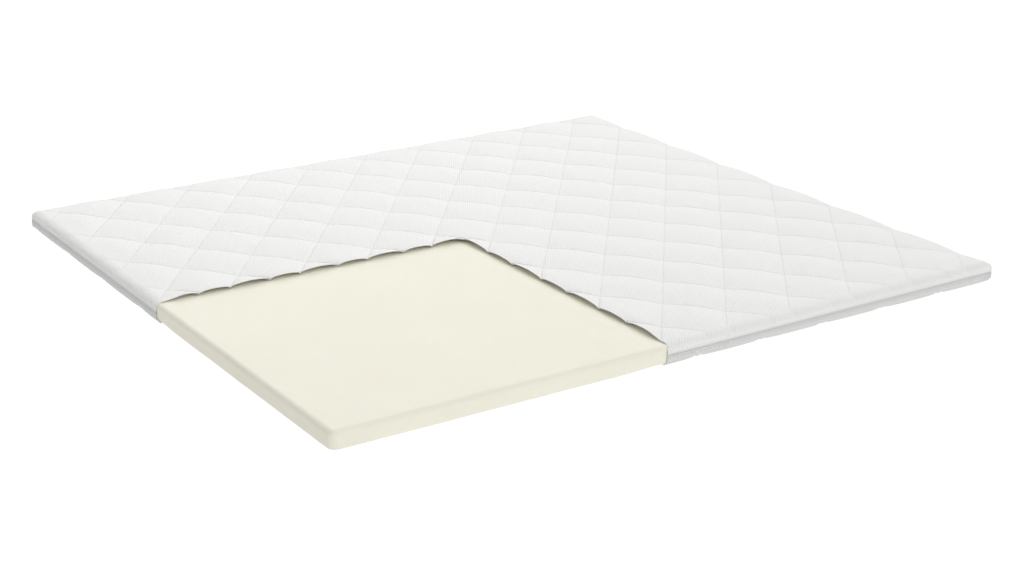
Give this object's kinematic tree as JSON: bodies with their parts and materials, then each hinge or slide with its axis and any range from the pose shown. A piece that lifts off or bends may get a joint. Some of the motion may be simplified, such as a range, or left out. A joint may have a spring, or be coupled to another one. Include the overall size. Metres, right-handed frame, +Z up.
{
  "type": "memory foam mattress",
  "caption": "Thin memory foam mattress: foam slab in a diamond-quilted white knit cover that zips apart all round, one corner cut away to show the foam.",
  "frame": {"origin": "on the floor under the middle of the mattress's outline", "axes": "+Z up; +X along the 200 cm side, away from the cut-away corner; +Y along the 180 cm side, towards the side with the zip's slider"},
  "size_m": [2, 1.8029, 0.052],
  "materials": {
    "cover_knit": "white knit with small dimples, quilted",
    "cover_wadding": "white polyester fibre",
    "cover_lining": "thin white non-woven",
    "sewing_thread": "white polyester thread",
    "zip_tape": "light grey woven tape",
    "zip_coil": "light grey nylon coil",
    "zip_metal": "light grey lacquered die-cast zinc",
    "label_satin": "blank white woven satin",
    "memory_foam": "cream open-cell polyurethane foam, matt"
  },
  "bodies": {
    "lower_cover": {"lower_cover_knit": "cover_knit", "lower_cover_wadding": "cover_wadding", "lower_cover_lining": "cover_lining", "lower_quilting_thread": "sewing_thread", "lower_seam_thread": "sewing_thread", "lower_zip_tape": "zip_tape", "lower_zip_coil": "zip_coil", "lower_zip_stops": "zip_metal", "care_label": "label_satin"},
    "core": {"foam_core": "memory_foam"},
    "upper_cover": {"upper_cover_knit": "cover_knit", "upper_cover_wadding": "cover_wadding", "upper_cover_lining": "cover_lining", "upper_quilting_thread": "sewing_thread", "upper_seam_thread": "sewing_thread", "upper_zip_tape": "zip_tape", "upper_zip_coil": "zip_coil", "upper_zip_stops": "zip_metal"},
    "slider": {"zip_slider": "zip_metal", "zip_slider_cap": "zip_metal"},
    "pull": {"zip_pull": "zip_metal"}
  },
  "joints": [
    {"name": "foam_lift", "type": "slide", "parent": "lower_cover", "child": "core", "axis": [0, 0, 1], "range_m": [0, 0.3]},
    {"name": "upper_cover_lift", "type": "slide", "parent": "core", "child": "upper_cover", "axis": [0, 0, 1], "range_m": [0, 0.3]},
    {"name": "slider_run", "type": "slide", "parent": "lower_cover", "child": "slider", "axis": [-1, 0, 0], "range_m": [0, 1.8]},
    {"name": "pull_swing", "type": "hinge", "parent": "slider", "child": "pull", "pos_m": [0.89, 0.90135, 0.0235], "axis": [0, 0, -1], "range_deg": [0, 180]}
  ]
}
